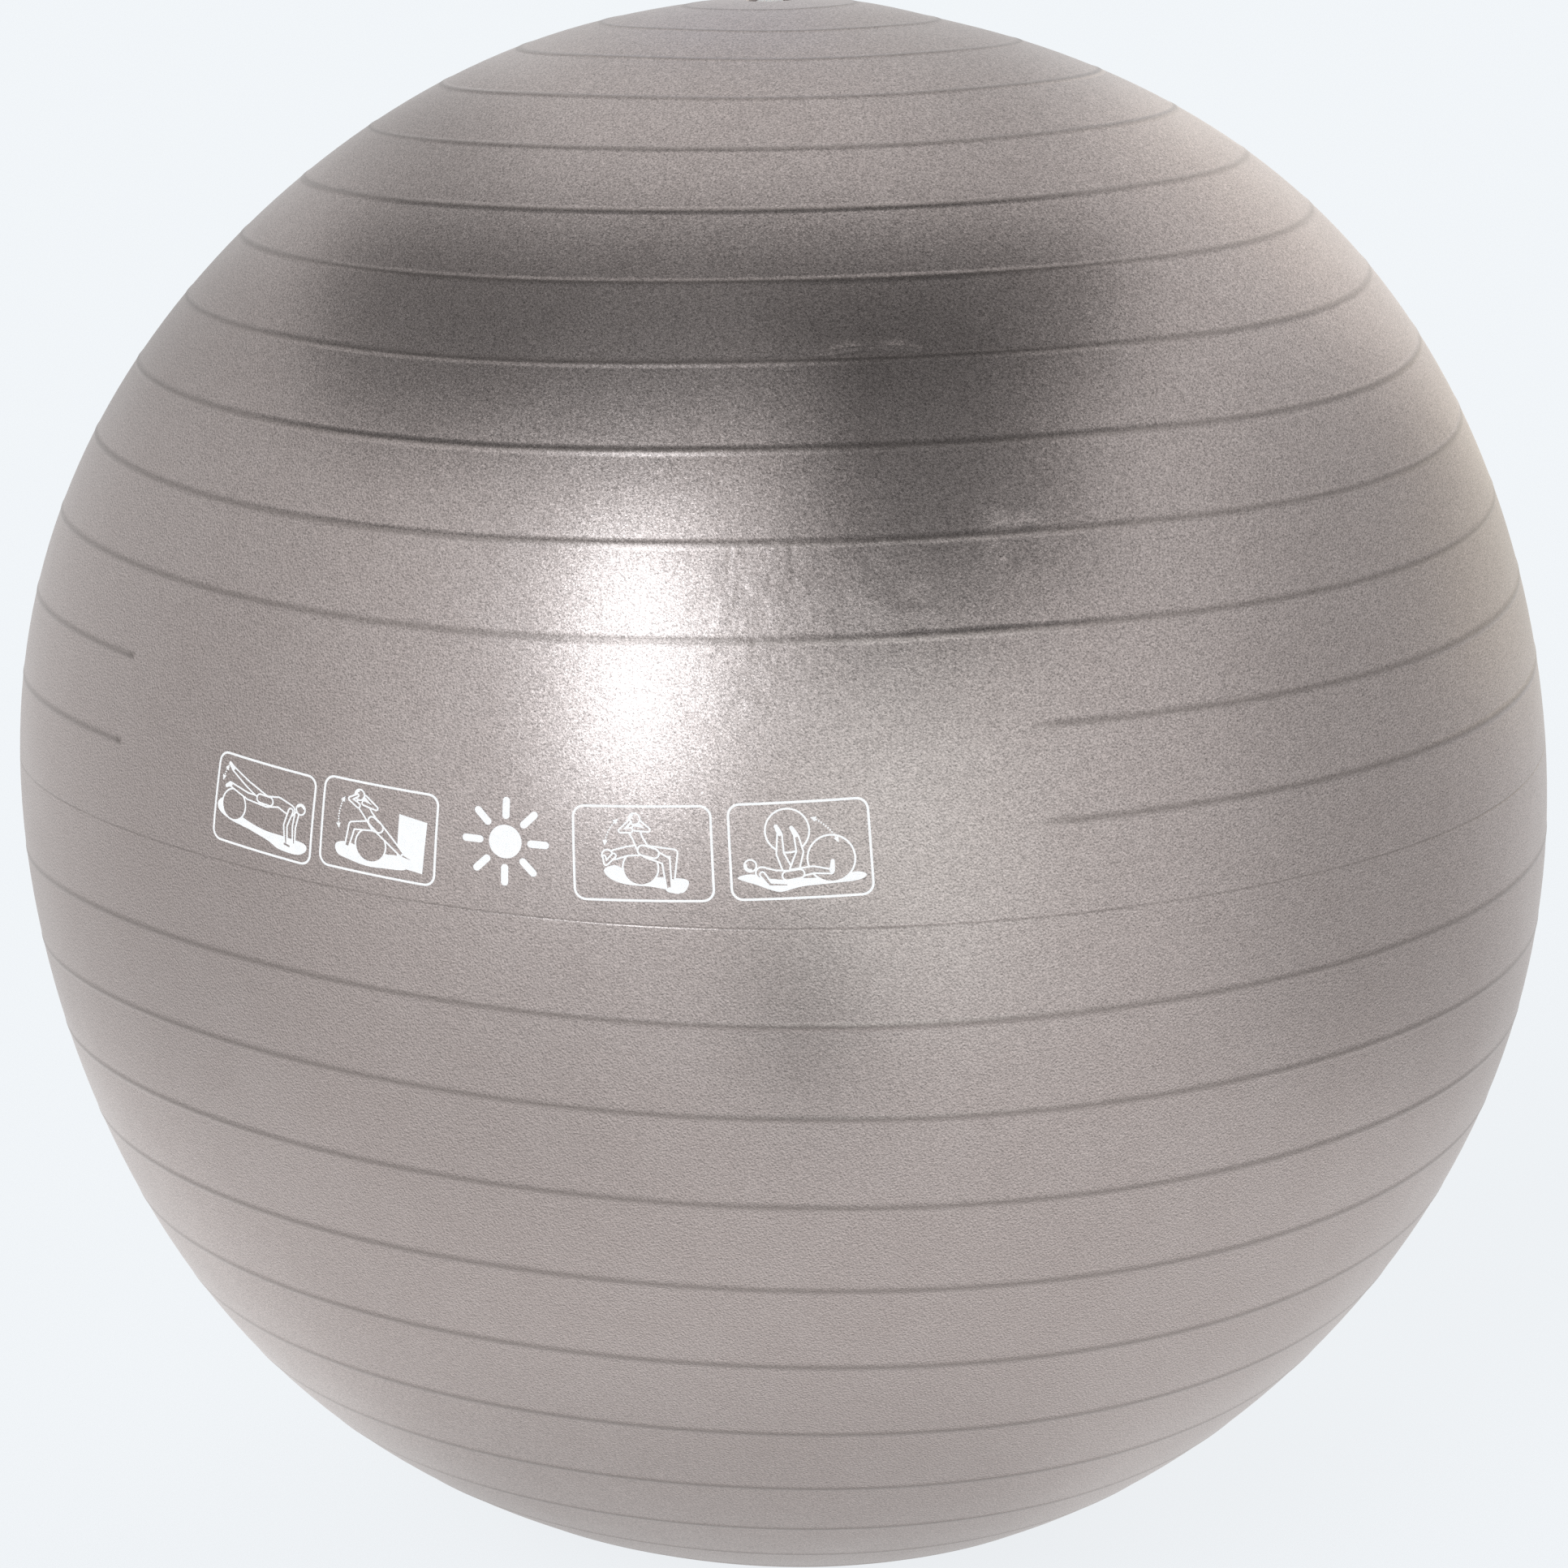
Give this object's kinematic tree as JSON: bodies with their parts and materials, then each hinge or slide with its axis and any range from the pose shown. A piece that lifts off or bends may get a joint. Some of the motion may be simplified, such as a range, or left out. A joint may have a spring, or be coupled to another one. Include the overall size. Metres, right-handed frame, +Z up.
{
  "type": "exercise ball",
  "caption": "Large inflatable exercise ball with raised rings all round, a printed row of exercise pictures and a push-in plug that pulls out of the valve at its top.",
  "frame": {"origin": "middle of the ball", "axes": "+Z up through the valve, -Y through the middle of the printed row, +X to the right of the printed row"},
  "size_m": [0.6439, 0.644, 0.6606],
  "materials": {
    "silver_vinyl": "semi-gloss pearl vinyl with a fine leather grain",
    "grommet_vinyl": "satin",
    "white_plastic": "semi-gloss",
    "white_ink": "satin ink"
  },
  "bodies": {
    "ball": {"ball_skin": "silver_vinyl", "valve_grommet": "grommet_vinyl", "plank_print": "white_ink", "side_bend_print": "white_ink", "crunch_print": "white_ink", "leg_swing_print": "white_ink", "sun_emblem_print": "white_ink"},
    "plug": {"valve_plug": "white_plastic"}
  },
  "joints": [
    {"name": "plug_pull", "type": "slide", "parent": "ball", "child": "plug", "axis": [0, 0, 1], "range_m": [0, 0.05]}
  ]
}
